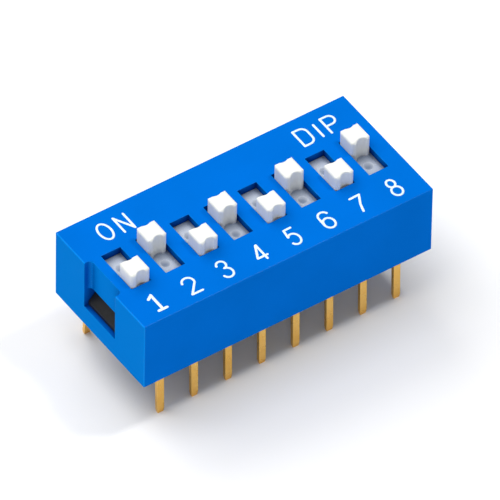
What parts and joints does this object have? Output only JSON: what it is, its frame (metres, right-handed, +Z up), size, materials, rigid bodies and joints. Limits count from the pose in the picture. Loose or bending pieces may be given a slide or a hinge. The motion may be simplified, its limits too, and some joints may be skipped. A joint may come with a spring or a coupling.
{
  "type": "dip switch",
  "caption": "Slide dip switch for through-hole mounting: a blue moulded cover over a black base, raised white slides that each bridge two terminals, and two rows of straight legs.",
  "frame": {"origin": "middle of the housing in plan, at the height of the tips of the legs", "axes": "+X along the row from the first switch to the last, +Y to the ON side, +Z up out of the slides"},
  "size_m": [0.0216, 0.0098, 0.0105],
  "materials": {
    "cover_plastic": "moulded, satin",
    "base_plastic": "moulded, satin",
    "slide_plastic": "moulded, satin",
    "contact_gold": "gold-plated spring strip",
    "terminal_gold": "gold-plated strip"
  },
  "bodies": {
    "housing": {"cover": "cover_plastic", "base": "base_plastic", "terminal_front_1": "terminal_gold", "terminal_front_2": "terminal_gold", "terminal_front_3": "terminal_gold", "terminal_front_4": "terminal_gold", "terminal_front_5": "terminal_gold", "terminal_front_6": "terminal_gold", "terminal_front_7": "terminal_gold", "terminal_front_8": "terminal_gold", "terminal_back_1": "terminal_gold", "terminal_back_2": "terminal_gold", "terminal_back_3": "terminal_gold", "terminal_back_4": "terminal_gold", "terminal_back_5": "terminal_gold", "terminal_back_6": "terminal_gold", "terminal_back_7": "terminal_gold", "terminal_back_8": "terminal_gold"},
    "slide_1": {"actuator_1": "slide_plastic", "contact_1": "contact_gold"},
    "slide_2": {"actuator_2": "slide_plastic", "contact_2": "contact_gold"},
    "slide_3": {"actuator_3": "slide_plastic", "contact_3": "contact_gold"},
    "slide_4": {"actuator_4": "slide_plastic", "contact_4": "contact_gold"},
    "slide_5": {"actuator_5": "slide_plastic", "contact_5": "contact_gold"},
    "slide_6": {"actuator_6": "slide_plastic", "contact_6": "contact_gold"},
    "slide_7": {"actuator_7": "slide_plastic", "contact_7": "contact_gold"},
    "slide_8": {"actuator_8": "slide_plastic", "contact_8": "contact_gold"}
  },
  "joints": [
    {"name": "switch_1", "type": "slide", "parent": "housing", "child": "slide_1", "axis": [0, 1, 0], "range_m": [0, 0.00191]},
    {"name": "switch_2", "type": "slide", "parent": "housing", "child": "slide_2", "axis": [0, 1, 0], "range_m": [-0.00191, 0]},
    {"name": "switch_3", "type": "slide", "parent": "housing", "child": "slide_3", "axis": [0, 1, 0], "range_m": [0, 0.00191]},
    {"name": "switch_4", "type": "slide", "parent": "housing", "child": "slide_4", "axis": [0, 1, 0], "range_m": [-0.00161, 0.0003]},
    {"name": "switch_5", "type": "slide", "parent": "housing", "child": "slide_5", "axis": [0, 1, 0], "range_m": [0, 0.00191]},
    {"name": "switch_6", "type": "slide", "parent": "housing", "child": "slide_6", "axis": [0, 1, 0], "range_m": [-0.00173, 0.00018]},
    {"name": "switch_7", "type": "slide", "parent": "housing", "child": "slide_7", "axis": [0, 1, 0], "range_m": [0, 0.00191]},
    {"name": "switch_8", "type": "slide", "parent": "housing", "child": "slide_8", "axis": [0, 1, 0], "range_m": [-0.00191, 0]}
  ]
}
